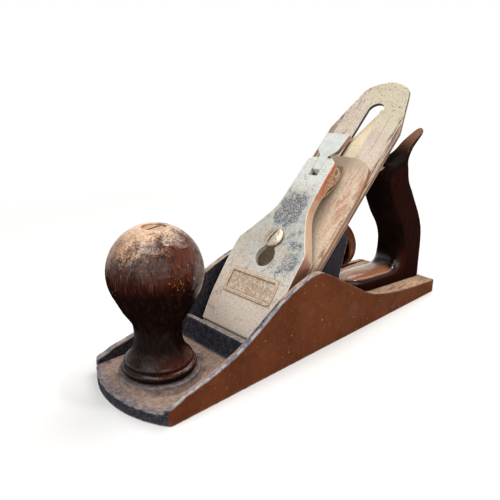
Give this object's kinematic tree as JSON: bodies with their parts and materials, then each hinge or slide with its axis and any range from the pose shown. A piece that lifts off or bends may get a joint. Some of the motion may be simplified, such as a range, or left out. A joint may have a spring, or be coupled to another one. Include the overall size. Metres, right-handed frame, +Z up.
{
  "type": "bench plane",
  "caption": "Metal smoothing plane with arched cheeks, an adjustable frog, a double iron under a cammed lever cap, a ball knob and an open wooden tote.",
  "frame": {"origin": "centre of the sole's bottom face", "axes": "+X to the toe, +Y to the user's left, +Z up from the sole"},
  "size_m": [0.2454, 0.0636, 0.1436],
  "materials": {
    "iron_body": "rust-brown patina on the sides, dark blue japanning inside",
    "japanned": "worn dark blue japanning",
    "steel": "dull aged steel",
    "iron_steel": "tan aged tool steel",
    "nickel": "worn nickel plate",
    "brass": "dark aged brass",
    "knob_wood": "polished dark red hardwood, worn at the top",
    "tote_wood": "polished near-black hardwood, worn at the foot"
  },
  "bodies": {
    "plane": {"plane_body": "iron_body", "frog_screws": "steel", "frog_washers": "steel", "front_knob": "knob_wood", "knob_bolt": "steel", "knob_nut": "brass", "tote": "tote_wood", "tote_bolt": "steel", "tote_nut": "brass"},
    "frog": {"frog": "japanned", "frog_clip": "steel", "frog_clip_screw": "steel", "yoke_pin": "steel", "depth_stud": "steel", "lateral_lever_rivet": "steel"},
    "frog_adjusting_screw": {"frog_adjusting_screw": "steel"},
    "depth_nut": {"depth_nut": "brass"},
    "yoke": {"yoke": "steel"},
    "lateral_lever": {"lateral_lever": "iron_steel", "lateral_roller": "iron_steel"},
    "blade_carriage": {"cap_iron_screw": "steel"},
    "irons": {"plane_iron": "iron_steel", "cap_iron": "iron_steel"},
    "lever_cap": {"lever_cap": "nickel", "cam_pin": "steel", "lever_cap_spring": "steel", "spring_rivets": "steel"},
    "cam_lever": {"cam_lever": "nickel"},
    "lever_cap_screw": {"lever_cap_screw": "steel"}
  },
  "joints": [
    {"name": "frog_slide", "type": "slide", "parent": "plane", "child": "frog", "axis": [1, 0, 0], "range_m": [-0.0015, 0.0015]},
    {"name": "frog_screw_turn", "type": "hinge", "parent": "frog", "child": "frog_adjusting_screw", "pos_m": [-0.01, 0, 0.0145], "axis": [1, 0, 0], "range_deg": [-540, 540]},
    {"name": "depth_nut_turn", "type": "hinge", "parent": "frog", "child": "depth_nut", "pos_m": [-0.03, 0, 0.0455], "axis": [1, 0, 0], "range_deg": [-360, 360]},
    {"name": "yoke_tilt", "type": "hinge", "parent": "frog", "child": "yoke", "pos_m": [-0.02244, 0, 0.05968], "axis": [0, 1, 0], "range_deg": [-4.4, 4.4]},
    {"name": "depth_slide", "type": "slide", "parent": "frog", "child": "blade_carriage", "axis": [-0.7071, 0, 0.7071], "range_m": [-0.00096, 0.00096]},
    {"name": "lateral_lever_swing", "type": "hinge", "parent": "frog", "child": "lateral_lever", "pos_m": [-0.04182, 0, 0.09122], "axis": [0.7071, 0, 0.7071], "range_deg": [-4, 4]},
    {"name": "iron_skew", "type": "hinge", "parent": "blade_carriage", "child": "irons", "pos_m": [-0.00717, 0, 0.05657], "axis": [0.7071, 0, 0.7071], "range_deg": [-1.2, 1.2]},
    {"name": "lever_cap_slide", "type": "slide", "parent": "frog", "child": "lever_cap", "axis": [-0.7071, 0, 0.7071], "range_m": [0, 0.0115]},
    {"name": "cam_lever_lift", "type": "hinge", "parent": "lever_cap", "child": "cam_lever", "pos_m": [-0.02343, 0, 0.09291], "axis": [0, 1, 0], "range_deg": [0, 90]},
    {"name": "lever_cap_screw_turn", "type": "hinge", "parent": "frog", "child": "lever_cap_screw", "pos_m": [0.00344, 0, 0.04596], "axis": [0.7071, 0, 0.7071], "range_deg": [-180, 180]}
  ],
  "couplings": [
    {"joint": "frog_screw_turn", "follows": "frog_slide", "rad_per_m": 6283.2},
    {"joint": "yoke_tilt", "follows": "depth_slide", "rad_per_m": -77.519},
    {"joint": "depth_nut_turn", "follows": "depth_slide", "rad_per_m": 6537.2},
    {"joint": "iron_skew", "follows": "lateral_lever_swing", "ratio": -0.28947}
  ]
}
